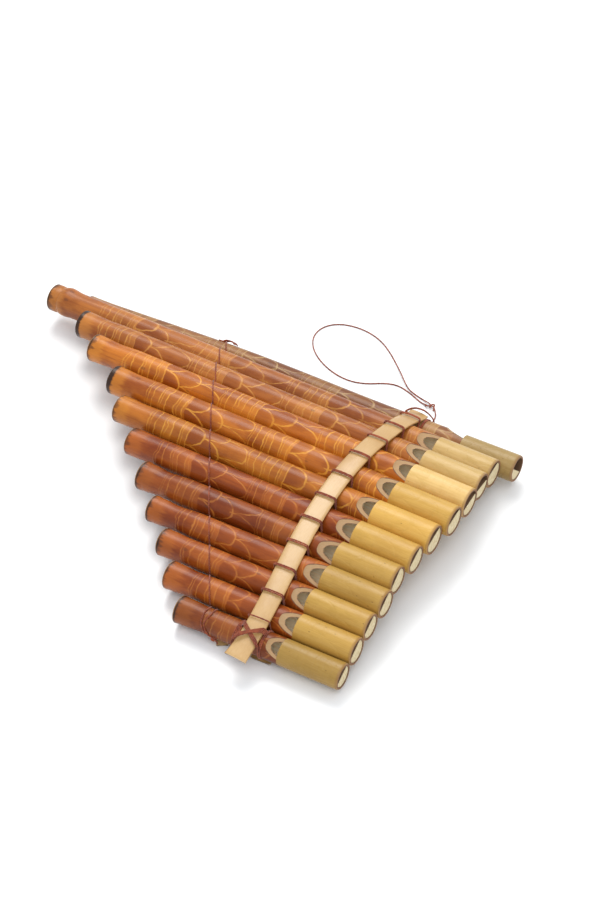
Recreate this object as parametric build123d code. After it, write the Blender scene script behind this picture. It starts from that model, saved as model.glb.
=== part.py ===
from build123d import *
import math
import os

# Whistle-mouthed pan flute of twelve bamboo pipes, lying arch up on a table. Millimetres, +Z up.
# It is laid out with the mouths near X = 0 and the pipes running towards -X, shortest pipe at -Y,
# and is moved at the end so that the origin is the middle of the base of its bounding box.

# Pipes, one value each, from the short side of the flute to the long side.
LENGTHS = [124, 145, 164, 187, 207, 234, 262, 286, 321, 347, 391, 380]
MOUTH_RADII = [9.4, 10.0, 9.8, 10.2, 10.5, 10.6, 11.2, 11.3, 11.1, 10.6, 10.8, 10.3]
FAR_RADII = [9.6, 9.9, 9.8, 9.6, 10.5, 10.2, 10.3, 10.9, 10.7, 10.8, 10.9, 8.2]
MOUTH_X = [1, 0, -1, -1, -4, -2, 0, 3, 3, 1, 0, 9]
WINDOW_TURNS = [28, 30, 30, 33, 36, 28, 17, 12, 10, 0, 11, -45]

# The arch: the slope from each pipe's axis to the next, in degrees, at both ends of the bundle.
MOUTH_SLOPES = [17, 13, 10, 7, 5, 3, 0, -3, -8, -13, -19]
FAR_SLOPES = [7, 9, 8, 9, 10, 8, 5, -1, -11, -18, -34.5]
FIRST_MOUTH = (-113.0, 12.2)
FIRST_FAR = (-119.0, 11.2)
MOUTH_GAP = 0.25
FAR_GAP = 1.4

# One pipe.
WALL = 1.8
MOUTHPIECE = 46.0
WINDOW_DEPTH = 4.2
WINDOW_RAMP = 13.0
SEPTUM_FROM_END = 13.0
CUP_DEPTH = 6.0
RIM_BEVEL = 0.8
CUP_WALL = WALL + 1.0
BORE_TAPER = 0.7

# Outside of a pipe: a waist, then a natural node near the far end, placed from that end.
WAIST = 0.5
WAIST_PLACE = 0.6
NODE_START = 24.0
NODE_SWELLING = 13.0
NODE_GROOVE_PLACE = 8.0
NODE_GROOVE = 0.8
FAR_RIM = 3.0
FAR_RIM_BEVEL = 0.5

# Fipple plug: it tapers the windway from an open entrance to a slit at the window.
PLUG_CLEARANCE = 0.05
WINDWAY_IN = 4.4
WINDWAY_OUT = 1.4

# Bamboo bars, bent over and under the arch near the windows, and the strip under mid-length.
BAR_PLAN = [(-65, -140), (-66, -105), (-73, -55), (-79, 0), (-79, 60), (-75, 140)]
REAR_BAR_PLAN = [(-57, -140), (-59, -105), (-70, -55), (-79, 0), (-79, 60), (-75, 140)]
BAR_WIDTH = 14.5
FRONT_BAR_THICKNESS = 3.2
REAR_BAR_THICKNESS = 2.6
STRIP_PLAN = [(-75.0, -140.0), (-162.0, -12.5), (-229.0, 98.0), (-249.0, 140.0)]
STRIP_CORD_LEAD = 9.0
STRIP_WIDTH = 8.0
STRIP_THICKNESS = 1.8
BAMBOO_CLEARANCE = 0.35
FRONT_BAR_TAILS = (22.5, 4.0)
REAR_BAR_TAILS = (9.0, 22.0)
STRIP_TAILS = (9.0, 24.0)

# Cord.
CORD = 1.0
CORD_CLEARANCE = 0.12
STAPLE_LEG = 4.5
STAPLE_BEND = 0.8
STAPLE_SPACING = 1.15
STAPLE_CLEARANCE = 0.45
HOOP_HALF_ANGLE = 62.0
HOOP_SPACING = 1.4
END_HOOP_CLEARANCE = 1.6
NEAR_HOOPS = (45, 75)
FAR_HOOPS = (-45, 70)

# The hanging cord lies on the table behind the longest pipe, knotted to a short tether.
KNOT_RADIUS = 2.0
KNOT_PLACE = (-84.0, 160.0)
TABLE = CORD / 2 + 0.1
TETHER = [
    (-76.0, 131.5, 6.0),
    (-74.5, 134.5, 2.4),
    (-74.0, 140.0, TABLE),
    (-74.5, 147.5, TABLE),
    (-76.5, 154.5, TABLE + 0.1),
    (-81.3, 159.2, 1.6),
]
LOOP = [
    (-86.6, 161.6, 1.6),
    (-93.0, 163.5, TABLE),
    (-100.5, 165.5, TABLE),
    (-108.0, 168.0, TABLE + 0.2),
    (-115.0, 173.5, TABLE + 1.5),
    (-122.5, 181.0, TABLE + 1.5),
    (-131.0, 189.5, TABLE),
    (-142.0, 199.0, TABLE),
    (-154.5, 207.5, TABLE),
    (-168.0, 212.0, TABLE),
    (-182.0, 212.5, TABLE),
    (-195.0, 208.5, TABLE),
    (-203.0, 199.5, TABLE),
    (-204.5, 187.5, TABLE),
    (-199.5, 176.0, TABLE),
    (-190.5, 166.5, TABLE),
    (-178.5, 159.0, TABLE),
    (-165.0, 154.0, TABLE),
    (-151.0, 152.8, TABLE),
    (-138.5, 157.0, TABLE),
    (-128.5, 164.5, TABLE),
    (-118.0, 168.3, TABLE),
    (-106.5, 165.6, TABLE),
    (-97.5, 161.8, TABLE),
    (-91.5, 159.3, TABLE),
    (-86.4, 158.6, 1.6),
]
ARC_SHARE = 0.45

COUNT = len(LENGTHS)
PLAN_STEPS = 60
ROOM = 400.0


def chain(first, radii, slopes, gap):
    """Axis places (y, z) of pipes that lie against each other along the arch."""
    places = [first]
    for index, slope in enumerate(slopes):
        step = radii[index] + radii[index + 1] + gap
        y, z = places[-1]
        turn = math.radians(slope)
        places.append((y + step * math.cos(turn), z + step * math.sin(turn)))
    return places


MOUTHS = chain(FIRST_MOUTH, MOUTH_RADII, MOUTH_SLOPES, MOUTH_GAP)
FARS = chain(FIRST_FAR, FAR_RADII, FAR_SLOPES, FAR_GAP)


def mouth_point(index):
    return Vector(MOUTH_X[index], *MOUTHS[index])


def far_point(index):
    return Vector(MOUTH_X[index] - LENGTHS[index], *FARS[index])


def axis_point(index, x):
    """Point on a pipe's axis at a given X."""
    mouth, far = mouth_point(index), far_point(index)
    return mouth + (far - mouth) * ((mouth.X - x) / (mouth.X - far.X))


def interpolate(table, value):
    """Straight-line reading of a rising table of (value, result) pairs."""
    for (low, first), (high, last) in zip(table, table[1:]):
        if value <= high:
            break
    return first + (last - first) * (value - low) / (high - low)


def side_outline(index):
    """Distances from the mouth and radii down the outside of a pipe."""
    length, mouth_r, far_r = LENGTHS[index], MOUTH_RADII[index], FAR_RADII[index]
    return [
        (0, mouth_r - RIM_BEVEL),
        (RIM_BEVEL, mouth_r),
        (MOUTHPIECE, mouth_r),
        (length * WAIST_PLACE, (mouth_r + far_r) / 2 - WAIST),
        (length - NODE_START, far_r - WAIST),
        (length - NODE_SWELLING, far_r),
        (length - NODE_GROOVE_PLACE, far_r - NODE_GROOVE),
        (length - FAR_RIM, far_r),
        (length, far_r - FAR_RIM_BEVEL),
    ]


def outer_radius(index, x):
    """Outside radius of a pipe at a given X."""
    return interpolate(side_outline(index), MOUTH_X[index] - x)


def outward(index):
    """Direction out of the arch at a pipe, across its neighbours at the mouths."""
    before, after = MOUTHS[max(index - 1, 0)], MOUTHS[min(index + 1, COUNT - 1)]
    along = Vector(0, after[0] - before[0], after[1] - before[1]).normalized()
    return Vector(0, -along.Z, along.Y)


def pipe_frame(index, turn=0.0):
    """Local frame: X along the pipe towards its mouth, Z up and turned towards -Y."""
    along = (mouth_point(index) - far_point(index)).normalized()
    up = Vector(0, 0, 1)
    up = (up - along * up.dot(along)).normalized()
    plane = Plane(origin=mouth_point(index), x_dir=along, z_dir=up)
    return plane.location * Rot(turn, 0, 0)


def rod(x_from, x_to, radius_from, radius_to=None):
    """Solid of revolution about X with straight sides."""
    end = radius_from if radius_to is None else radius_to
    outline = Polyline((x_from, 0), (x_from, radius_from), (x_to, end), (x_to, 0), close=True)
    return revolve(make_face(outline), Axis.X)


def pipe_body(index):
    """Closed at its natural node, open at the mouth, with the sounding window."""
    length, mouth_r, far_r = LENGTHS[index], MOUTH_RADII[index], FAR_RADII[index]
    side = [(-distance, radius) for distance, radius in side_outline(index)]
    body = revolve(make_face(Polyline((0, 0), *side, (-length, 0), close=True)), Axis.X)
    body -= rod(-MOUTHPIECE, 0, mouth_r - WALL)
    body -= rod(-(length - SEPTUM_FROM_END), -MOUTHPIECE, far_r - WALL - BORE_TAPER, mouth_r - WALL)
    body -= rod(-length, -(length - CUP_DEPTH), far_r - CUP_WALL)
    return body - window_wedge(mouth_r)


def window_wedge(radius):
    """The notch: a straight cut on the mouth side and a ramp on the body side."""
    low, high = radius - WINDOW_DEPTH, radius + 3
    reach = WINDOW_RAMP * (high - low) / WINDOW_DEPTH
    outline = Polyline((-MOUTHPIECE, low), (-MOUTHPIECE, high), (-MOUTHPIECE - reach, high), close=True)
    face = Plane.XZ * make_face(outline)
    return extrude(face, radius + 3, both=True)


def fipple_plug(index):
    """Plug that fills the bore from the mouth to the window, under the windway."""
    bore = MOUTH_RADII[index] - WALL
    plug = rod(-MOUTHPIECE, 0, bore - PLUG_CLEARANCE)
    outline = Polyline(
        (1, bore - WINDWAY_IN),
        (-MOUTHPIECE - 1, bore - WINDWAY_OUT),
        (-MOUTHPIECE - 1, bore + 2),
        (1, bore + 2),
        close=True,
    )
    return plug - extrude(Plane.XZ * make_face(outline), bore + 2, both=True)


def plan_x(plan, y):
    """X of a bar's centre line at a given Y."""
    line = Spline(*plan)
    steps = [line @ (step / PLAN_STEPS) for step in range(PLAN_STEPS + 1)]
    return interpolate([(point.Y, point.X) for point in steps], y)


def contact_curve(plan, side, offset, tails):
    """Points in YZ where a bar's face lies on the pipes, and its two tails beyond them."""
    points = []
    for index in range(COUNT):
        x = plan_x(plan, MOUTHS[index][0])
        reach = outer_radius(index, x) + offset
        centre = axis_point(index, x)
        point = centre + outward(index) * (side * reach)
        points.append((point.Y, point.Z))
    ends = []
    for (y0, z0), (y1, z1), tail in ((points[1], points[0], tails[0]), (points[-2], points[-1], tails[1])):
        run = math.hypot(y1 - y0, z1 - z0)
        ends.append((y1 + (y1 - y0) / run * tail, z1 + (z1 - z0) / run * tail))
    return [ends[0]] + points + [ends[1]]


def bent_bar(plan, width, thickness, side, tails):
    """Flat bamboo bent along the arch: its YZ profile cut to its outline in plan."""
    near = contact_curve(plan, side, BAMBOO_CLEARANCE, tails)
    far = contact_curve(plan, side, BAMBOO_CLEARANCE + thickness, tails)
    profile = Spline(*near) + Line(near[-1], far[-1]) + Spline(*far[::-1]) + Line(far[0], near[0])
    band = extrude(Plane.YZ * make_face(profile), ROOM, both=True)
    left = [(x - width / 2, y) for x, y in plan]
    right = [(x + width / 2, y) for x, y in plan]
    outline = Spline(*left) + Line(left[-1], right[-1]) + Spline(*right[::-1]) + Line(right[0], left[0])
    column = extrude(make_face(outline), ROOM, both=True)
    above_table = Pos(0, 0, ROOM / 2) * Box(3 * ROOM, 2 * ROOM, ROOM)
    return band & column & above_table


def cord_tube(points, radii):
    """Round cord along straight runs joined by tangent arcs."""
    path = FilletPolyline(*points, radius=radii)
    start = path @ 0
    section = Plane(origin=start, z_dir=path % 0) * Circle(CORD / 2)
    return sweep(section, path=path)


def gap_point(index):
    """Middle of the gap between a pipe and the next, at the bars."""
    x = plan_x(BAR_PLAN, (MOUTHS[index][0] + MOUTHS[index + 1][0]) / 2)
    return (axis_point(index, x) + axis_point(index + 1, x)) * 0.5


def gap_outward(index):
    a, b = MOUTHS[index], MOUTHS[index + 1]
    along = Vector(0, b[0] - a[0], b[1] - a[1]).normalized()
    return along, Vector(0, -along.Z, along.Y)


def staple(index, shift):
    """One strand over the front bar, with both legs down in the gap between two pipes."""
    along, out = gap_outward(index)
    centre = gap_point(index) + along * shift
    x = centre.X
    centre = Vector(0, centre.Y, centre.Z)
    radius = (outer_radius(index, x) + outer_radius(index + 1, x)) / 2
    top = radius + BAMBOO_CLEARANCE + FRONT_BAR_THICKNESS + CORD / 2 + STAPLE_CLEARANCE
    foot = radius - STAPLE_LEG
    half = BAR_WIDTH / 2 + CORD / 2 + 2 * STAPLE_CLEARANCE
    places = [(x - half, foot), (x - half, top), (x + half, top), (x + half, foot)]
    points = [Vector(px, 0, 0) + centre + out * height for px, height in places]
    return cord_tube(points, [STAPLE_BEND, STAPLE_BEND])


def hoop(index, distance, middle=0.0, half_angle=HOOP_HALF_ANGLE):
    """Part ring of cord round a pipe, centred on a direction turned from up."""
    x = MOUTH_X[index] - distance
    ring = outer_radius(index, x) + CORD / 2 + CORD_CLEARANCE
    circle = Plane(origin=(-distance, 0, ring), z_dir=(0, 1, 0)) * Circle(CORD / 2)
    start = Rot(middle + half_angle, 0, 0) * circle
    return pipe_frame(index) * revolve(start, Axis.X, revolution_arc=-2 * half_angle)


def distance_at(plan, index):
    """Distance from a pipe's mouth to where a bar crosses it."""
    return MOUTH_X[index] - plan_x(plan, axis_point(index, MOUTH_X[index]).Y)


def bar_lashing():
    """Paired strands over the front bar in each gap, and a single one in the first gap."""
    strands = [staple(0, 0.0)]
    for index in range(1, COUNT - 1):
        strands += [staple(index, -STAPLE_SPACING / 2), staple(index, STAPLE_SPACING / 2)]
    return strands


def strip_lashing():
    """The cord that crosses every pipe over the strip, doubled on the two end pipes."""
    strands = []
    for index in range(COUNT):
        distance = distance_at(STRIP_PLAN, index) + STRIP_CORD_LEAD
        doubled = index in (0, COUNT - 1)
        for shift in (-HOOP_SPACING / 2, HOOP_SPACING / 2) if doubled else (0.0,):
            strands.append(hoop(index, distance + shift))
    return strands


def bar_end_lashing(index, middle, half_angle):
    """Turns of cord round an end pipe, close on both sides of the bars."""
    centre = distance_at(BAR_PLAN, index)
    strands = []
    for side in (-1, 1):
        for turn in range(2):
            offset = BAR_WIDTH / 2 + END_HOOP_CLEARANCE + turn * STAPLE_SPACING
            strands.append(hoop(index, centre + side * offset, middle, half_angle))
    return strands


def route_radii(points):
    """The largest tangent arc that each corner's two runs leave room for."""
    corners = [Vector(*point) for point in points]
    radii = []
    for before, corner, after in zip(corners, corners[1:], corners[2:]):
        turn = math.radians((corner - before).get_angle(after - corner))
        run = min((corner - before).length, (after - corner).length)
        radii.append(ARC_SHARE * run / math.tan(turn / 2))
    return radii


def free_cord(points, name):
    radii = route_radii(points)
    tube = cord_tube(points, radii)
    print(name, "radii", [round(radius, 1) for radius in radii])
    path = FilletPolyline(*points, radius=radii)
    section = math.pi * CORD ** 2 / 4
    share = tube.volume / (section * path.length)
    print(name, "length", round(path.length, 1), "volume / section x length", round(share, 4))
    return [tube]


def main():
    os.makedirs("parts", exist_ok=True)
    nodes = {}
    for index in range(COUNT):
        placed = pipe_frame(index, WINDOW_TURNS[index])
        nodes[f"pipe_{index + 1:02d}"] = [placed * pipe_body(index)]
        nodes[f"fipple_plug_{index + 1:02d}"] = [placed * fipple_plug(index)]
    nodes["front_bar"] = [bent_bar(BAR_PLAN, BAR_WIDTH, FRONT_BAR_THICKNESS, 1, FRONT_BAR_TAILS)]
    nodes["rear_bar"] = [bent_bar(REAR_BAR_PLAN, BAR_WIDTH, REAR_BAR_THICKNESS, -1, REAR_BAR_TAILS)]
    nodes["rear_strip"] = [bent_bar(STRIP_PLAN, STRIP_WIDTH, STRIP_THICKNESS, -1, STRIP_TAILS)]
    nodes["bar_lashing"] = bar_lashing()
    nodes["near_end_lashing"] = bar_end_lashing(0, *NEAR_HOOPS)
    nodes["far_end_lashing"] = bar_end_lashing(COUNT - 1, *FAR_HOOPS)
    nodes["strip_lashing"] = strip_lashing()
    cords = {
        "cord_tether": free_cord(TETHER, "tether"),
        "hanging_loop": free_cord(LOOP, "loop"),
        "loop_knot": [Pos(*KNOT_PLACE, KNOT_RADIUS) * Sphere(KNOT_RADIUS)],
    }
    boxes = [solid.bounding_box() for solids in nodes.values() for solid in solids]
    x_middle = (min(box.min.X for box in boxes) + max(box.max.X for box in boxes)) / 2
    y_middle = (min(box.min.Y for box in boxes) + max(box.max.Y for box in boxes)) / 2
    centre = Pos(-x_middle, -y_middle, -min(box.min.Z for box in boxes))
    print("moved by", centre.position)
    for node, solids in (nodes | cords).items():
        moved = [centre * solid for solid in solids]
        export_step(moved[0] if len(moved) == 1 else Compound(moved), f"parts/{node}.step")


main()
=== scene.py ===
import math

import bmesh
import bpy
import numpy as np
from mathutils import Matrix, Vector, noise
from mathutils.bvhtree import BVHTree


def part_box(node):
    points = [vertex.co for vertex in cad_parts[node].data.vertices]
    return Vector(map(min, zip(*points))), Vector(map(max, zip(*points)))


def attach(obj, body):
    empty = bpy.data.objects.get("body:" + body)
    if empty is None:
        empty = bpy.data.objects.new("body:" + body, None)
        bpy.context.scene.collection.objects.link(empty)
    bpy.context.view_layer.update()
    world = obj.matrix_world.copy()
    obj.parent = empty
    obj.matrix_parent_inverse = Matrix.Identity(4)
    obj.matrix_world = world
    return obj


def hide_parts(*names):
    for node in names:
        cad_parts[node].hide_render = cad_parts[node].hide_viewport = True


# Looks of a whistle-mouthed bamboo pan flute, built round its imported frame.
# Lengths are in millimetres until raw_mesh() turns them into metres; lights and camera are in metres.
# +X runs along the pipes to their mouths, -Y is the side of the shortest pipe, +Z is up.

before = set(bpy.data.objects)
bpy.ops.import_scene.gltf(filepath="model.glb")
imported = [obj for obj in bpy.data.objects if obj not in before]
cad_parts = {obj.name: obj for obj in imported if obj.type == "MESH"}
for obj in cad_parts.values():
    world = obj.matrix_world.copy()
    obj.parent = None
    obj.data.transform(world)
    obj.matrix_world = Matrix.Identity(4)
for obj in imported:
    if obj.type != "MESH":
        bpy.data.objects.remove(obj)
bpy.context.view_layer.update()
MM = 0.001
COUNT = 12
GROOVED = 10

# The whistle windows, one value for each pipe from the shortest to the longest.
WINDOW_TURNS = [28, 30, 30, 33, 36, 28, 17, 12, 10, 0, 14, -45]
MOUTHPIECES = [44.5, 43.0, 45.5, 46.5, 45.5, 46.0, 46.5, 47.0, 46.5, 46.0, 46.0, 44.0]
WINDOW_RAMPS = [9.6, 12.0, 11.2, 13.0, 13.0, 13.0, 12.0, 12.5, 13.0, 14.0, 14.5, 16.5]
WINDOW_DEPTH = 4.0
WALL = 1.95
WINDOW_CURVE = 0.6
WINDWAYS = [6.0, 5.5, 5.5, 5.5, 5.5, 6.0, 6.5, 6.0, 9.0, 9.0, 5.0, 9.5]
WINDWAY_OUT = 1.5
SEPTUM_FROM_END = 13.0
CUP_DEPTH = 5.0

# Screen colours (0 to 255) of the stain and the bare mouthpiece: a hue for each pipe, and its shade.
WALNUT, HONEY, BROWN, GREY_BROWN = (145, 71, 23), (172, 98, 30), (157, 91, 38), (142, 95, 56)
STAIN_HUES = [WALNUT] * 6 + [HONEY] * 3 + [BROWN] * 2 + [GREY_BROWN]
STAIN_SHADES = [0.87, 1.02, 1.0, 1.0, 0.95, 1.02, 0.96, 1.02, 1.04, 1.02, 1.01, 1.0]
STRAW, DRY_STRAW = (184, 143, 68), (195, 160, 98)
BARE_HUES = [STRAW] * 8 + [DRY_STRAW] * 4
BARE_SHADES = [0.86, 1.0, 0.99, 0.95, 0.99, 1.06, 1.12, 1.06, 1.1, 0.99, 0.98, 0.82]
BURNT_DEPTHS = [3.8, 3.4, 3.3, 3.7, 3.7, 3.2, 3.2, 5.0, 3.4, 5.4, 3.2, 3.0]
RIM, BURNT_RIM = (150, 104, 54), (60, 40, 26)
RIMS = [RIM] * 7 + [BURNT_RIM, RIM, BURNT_RIM, (150, 110, 56), (110, 84, 52)]
PATTERN_STARTS = [22, 20, 20, 24, 20, 26, 30, 34, 34, 20, 50, 30]
PATTERN_PERIODS = [70, 74, 78, 82, 80, 76, 84, 88, 84, 82, 86, 84]


def linear(colour):
    """Scene-linear colour of a screen colour given from 0 to 255."""
    parts = [c / 255 for c in colour]
    return tuple(c / 12.92 if c <= 0.04045 else ((c + 0.055) / 1.055) ** 2.4 for c in parts) + (1.0,)


def shade(colour, factor):
    return tuple(c * factor for c in colour)


def tint(colour, *factors):
    """A scene-linear colour with its red, green and blue multiplied."""
    return tuple(min(c * f, 1) for c, f in zip(colour, factors)) + (1.0,)


# ---- Material building blocks


class Nodes:
    """A small helper that adds nodes to one material and links them."""

    def __init__(self, name):
        self.material = bpy.data.materials.new(name)
        self.material.use_nodes = True
        self.tree = self.material.node_tree
        self.tree.nodes.clear()
        self.output = self.new("OutputMaterial")
        self.shader = self.new("BsdfPrincipled")
        self.link(self.shader.outputs[0], self.output.inputs["Surface"])

    def new(self, kind):
        return self.tree.nodes.new("ShaderNode" + kind)

    def link(self, source, target):
        self.tree.links.new(source, target)

    def feed(self, target, value):
        """Links a socket, or sets a plain number or colour."""
        if isinstance(value, bpy.types.NodeSocket):
            self.link(value, target)
        else:
            target.default_value = value

    def math(self, operation, a, b=0.0, c=None, clamp=False):
        node = self.new("Math")
        node.operation = operation
        node.use_clamp = clamp
        self.feed(node.inputs[0], a)
        self.feed(node.inputs[1], b)
        if c is not None:
            self.feed(node.inputs[2], c)
        return node.outputs[0]

    def times(self, a, b):
        return self.math("MULTIPLY", a, b)

    def times_plus(self, a, b, c):
        return self.math("MULTIPLY_ADD", a, b, c)

    def plus(self, a, b):
        return self.math("ADD", a, b)

    def minus(self, a, b):
        return self.math("SUBTRACT", a, b)

    def mix(self, amount, a, b):
        node = self.new("Mix")
        node.data_type = "RGBA"
        self.feed(node.inputs[0], amount)
        self.feed(node.inputs[6], a)
        self.feed(node.inputs[7], b)
        return node.outputs[2]

    def over(self, under, colour, cover, strength):
        """Lays a colour over another where the cover is, at some strength."""
        return self.mix(self.times(cover, strength), under, colour)

    def span(self, value, low, high, to_low=0.0, to_high=1.0):
        """Smooth step of a value between two limits."""
        node = self.new("MapRange")
        node.interpolation_type = "SMOOTHSTEP"
        self.feed(node.inputs[0], value)
        for socket, number in zip(node.inputs[1:5], (low, high, to_low, to_high)):
            socket.default_value = number
        return node.outputs[0]

    def place(self, stretch=(1, 1, 1), offset=(0, 0, 0)):
        """Object coordinates, stretched."""
        coordinates = self.new("TexCoord")
        mapping = self.new("Mapping")
        mapping.inputs["Scale"].default_value = stretch
        mapping.inputs["Location"].default_value = offset
        self.link(coordinates.outputs["Object"], mapping.inputs[0])
        return mapping.outputs[0]

    def noise(self, vector, scale, detail=3.0, roughness=0.55):
        node = self.new("TexNoise")
        self.link(vector, node.inputs["Vector"])
        for key, value in (("Scale", scale), ("Detail", detail), ("Roughness", roughness)):
            node.inputs[key].default_value = value
        return node.outputs["Fac"]

    def dots(self, vector, scale):
        """Distance to scattered points."""
        node = self.new("TexVoronoi")
        self.link(vector, node.inputs["Vector"])
        node.inputs["Scale"].default_value = scale
        return node.outputs["Distance"]

    def skin_place(self):
        """Distance from the far end in millimetres, and turns round the pipe."""
        uv = self.new("UVMap")
        uv.uv_map = "Skin"
        parts = self.new("SeparateXYZ")
        self.link(uv.outputs[0], parts.inputs[0])
        return self.times(parts.outputs[0], 100.0), parts.outputs[1]

    def bump(self, height, strength, distance):
        node = self.new("Bump")
        node.inputs["Strength"].default_value = strength
        node.inputs["Distance"].default_value = distance
        self.link(height, node.inputs["Height"])
        return node.outputs[0]

    def finish(self, colour, roughness, normal=None, coat=0.0, coat_roughness=0.1, specular=0.5):
        self.feed(self.shader.inputs["Base Color"], colour)
        self.feed(self.shader.inputs["Roughness"], roughness)
        self.shader.inputs["Coat Weight"].default_value = coat
        self.shader.inputs["Coat Roughness"].default_value = coat_roughness
        self.shader.inputs["Specular IOR Level"].default_value = specular
        if normal is not None:
            self.link(normal, self.shader.inputs["Normal"])
        return self.material


def scale_row(n, turns, reach, start, length, shift, soft):
    """One row of four half-oval scales round the pipe: their edges, their insides, their zone."""
    across = n.times_plus(n.math("FRACT", n.times_plus(turns, 4.0, shift)), 2.0, -1.0)
    part = n.math("DIVIDE", n.minus(reach, start), length)
    squared = n.times(part, n.math("ABSOLUTE", part))
    oval = n.times_plus(n.times(across, across), 0.94, squared)
    edge = n.math("ABSOLUTE", n.minus(oval, 0.94))
    zone = n.times(n.span(part, -0.03, 0.02), n.span(part, 1.06, 1.0))
    lines = n.times(n.span(edge, soft, soft * 0.25), zone)
    inside = n.times(n.span(oval, 0.96, 0.35), zone)
    return lines, inside


def scratch_pattern(n, along, turns, index):
    """Scratched decoration: rings, then rows of scales, over and over down the pipe.

    Gives the lines, the golden bands between rings and the dark insides of scales, from 0 to 1."""
    wander = n.noise(n.place(offset=(index * 0.7, 0, 0)), 48, detail=3)
    sway = n.times_plus(wander, 11.0, -5.5)
    start, period = PATTERN_STARTS[index], PATTERN_PERIODS[index]
    turned = n.plus(turns, n.times_plus(wander, 0.11, 0.083 * index))
    local = n.plus(n.minus(along, start), sway)
    step = n.math("FLOORED_MODULO", local, period)
    # Rings in pairs, in the first part of each repeat.
    rings_end = period * 0.4
    ring = n.math("PINGPONG", step, 3.3)
    short_ring = n.math("ABSOLUTE", n.minus(n.math("FLOORED_MODULO", step, 13.2), 2.2))
    ring_zone = n.times(n.span(step, -0.5, 0.3), n.span(step, rings_end + 0.5, rings_end))
    rings = n.math("MAXIMUM", n.span(ring, 0.7, 0.1), n.times(n.span(short_ring, 0.6, 0.1), 0.7))
    rings = n.times(rings, ring_zone)
    # Two rows of scales, then a long one.
    lengths = (period * 0.18, period * 0.19, period * 0.3)
    lines, insides, begin = rings, 0.0, rings_end
    for number, length in enumerate(lengths):
        edge, inside = scale_row(n, turned, step, begin, length, 0.5 * (number % 2), 0.17 - 0.03 * number)
        lines = n.math("MAXIMUM", lines, edge)
        insides = n.math("MAXIMUM", insides, n.times(inside, (1.0, 0.85, 0.4)[number]))
        begin += length * (0.92, 0.8, 1.0)[number]
    worn = n.noise(n.place(offset=(0, index * 0.3, 0)), 150, detail=3)
    started = n.span(local, -1.0, 0.5)
    lines = n.times(lines, n.span(worn, 0.3, 0.6, 0.25, 1.0))
    lines = n.times(lines, started)
    band = n.times(n.span(step, 0.0, rings_end * 0.9, 0.15, 1.0), ring_zone)
    every = n.math("FRACT", n.times(n.math("FLOOR", n.math("DIVIDE", step, 6.6)), 0.37))
    band = n.math("MULTIPLY", band, n.times_plus(every, 0.8, 0.35), clamp=True)
    return lines, n.times(band, started), n.times(insides, started)


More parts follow.
